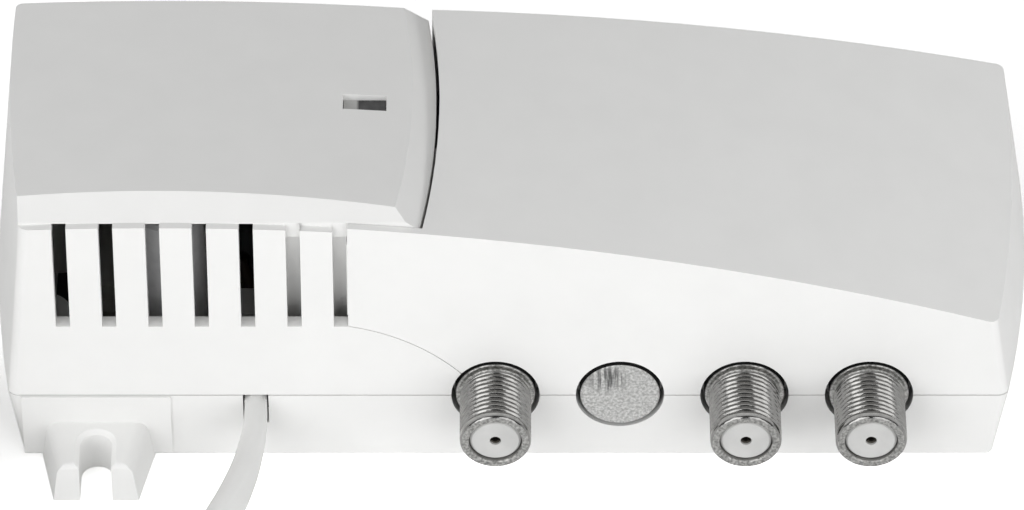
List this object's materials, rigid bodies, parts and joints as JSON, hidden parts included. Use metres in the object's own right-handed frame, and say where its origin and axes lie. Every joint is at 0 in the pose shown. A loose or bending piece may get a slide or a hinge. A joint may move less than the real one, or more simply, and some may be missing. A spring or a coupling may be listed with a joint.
{
  "type": "tv signal amplifier",
  "caption": "White wall-mount aerial signal amplifier with threaded coaxial sockets, a vented mains side, slotted fixing ears and a fixed flat mains lead with a plug.",
  "frame": {"origin": "middle of the flat underside that lies against the wall", "axes": "+X along the housing from the mains side to the signal side, -Y out of the sockets, +Z away from the wall"},
  "size_m": [0.2165, 0.1015, 0.0427],
  "materials": {
    "housing": "fine satin",
    "nickel": "cast, nickel plated",
    "cast_metal": "raw casting",
    "tinplate": "bright sheet",
    "screw_steel": "zinc plated",
    "insulator": "semi-gloss",
    "contact": "plated",
    "light_pipe": "clear, frosted end",
    "led": "tinted lens",
    "rf_laminate": "solder resist",
    "psu_laminate": "bare laminate",
    "chip": "moulded",
    "ferrite": "sintered",
    "coil_former": "taped winding",
    "chip_part": "ceramic",
    "film_capacitor": "box moulding",
    "bulk_can": "plain sleeve",
    "can": "plain sleeve",
    "terminal": "moulded",
    "fuse": "clear tube",
    "barrier": "pressed board",
    "sheet": "satin film",
    "core_wire": "insulated",
    "dc_wire": "insulated",
    "cord": "smooth PVC",
    "tie": "coated wire",
    "plug": "moulded PVC",
    "plug_pin": "nickel plated",
    "pin_sleeve": "moulded"
  },
  "bodies": {
    "root": {"base_shell": "housing", "rf_cover": "housing", "mains_cover": "housing", "housing_screws": "screw_steel", "light_pipe": "light_pipe", "status_led": "led", "rf_chassis": "cast_metal", "rf_lid": "tinplate", "rf_board": "rf_laminate", "rf_board_screws": "screw_steel", "chassis_screws": "screw_steel", "f_port_1": "nickel", "f_port_2": "nickel", "f_port_3": "nickel", "blank_port": "cast_metal", "f_insulator_1": "insulator", "f_insulator_2": "insulator", "f_insulator_3": "insulator", "f_contact_1": "contact", "f_contact_2": "contact", "f_contact_3": "contact", "amplifier_chip": "chip", "splitter_cores": "ferrite", "rf_inductors": "chip_part", "rf_capacitors": "chip_part", "psu_board": "psu_laminate", "psu_screws": "screw_steel", "mains_terminal": "terminal", "mains_fuse": "fuse", "x_capacitor": "film_capacitor", "mains_choke": "ferrite", "bridge_rectifier": "chip", "bulk_capacitor": "bulk_can", "controller_chip": "chip", "transformer_core": "ferrite", "transformer_bobbin": "coil_former", "output_diode": "chip", "output_capacitor": "can", "output_choke": "ferrite", "insulation_barrier": "barrier", "insulation_sheet": "sheet", "dc_lead": "dc_wire", "cord_clamp": "housing", "clamp_screws": "screw_steel", "lead_end": "cord", "mains_wires": "core_wire", "mains_lead": "cord", "cord_coil": "cord", "cord_tail": "cord", "coil_tie": "tie", "plug_body": "plug", "plug_pins": "plug_pin", "pin_sleeves": "pin_sleeve"}
  },
  "joints": []
}
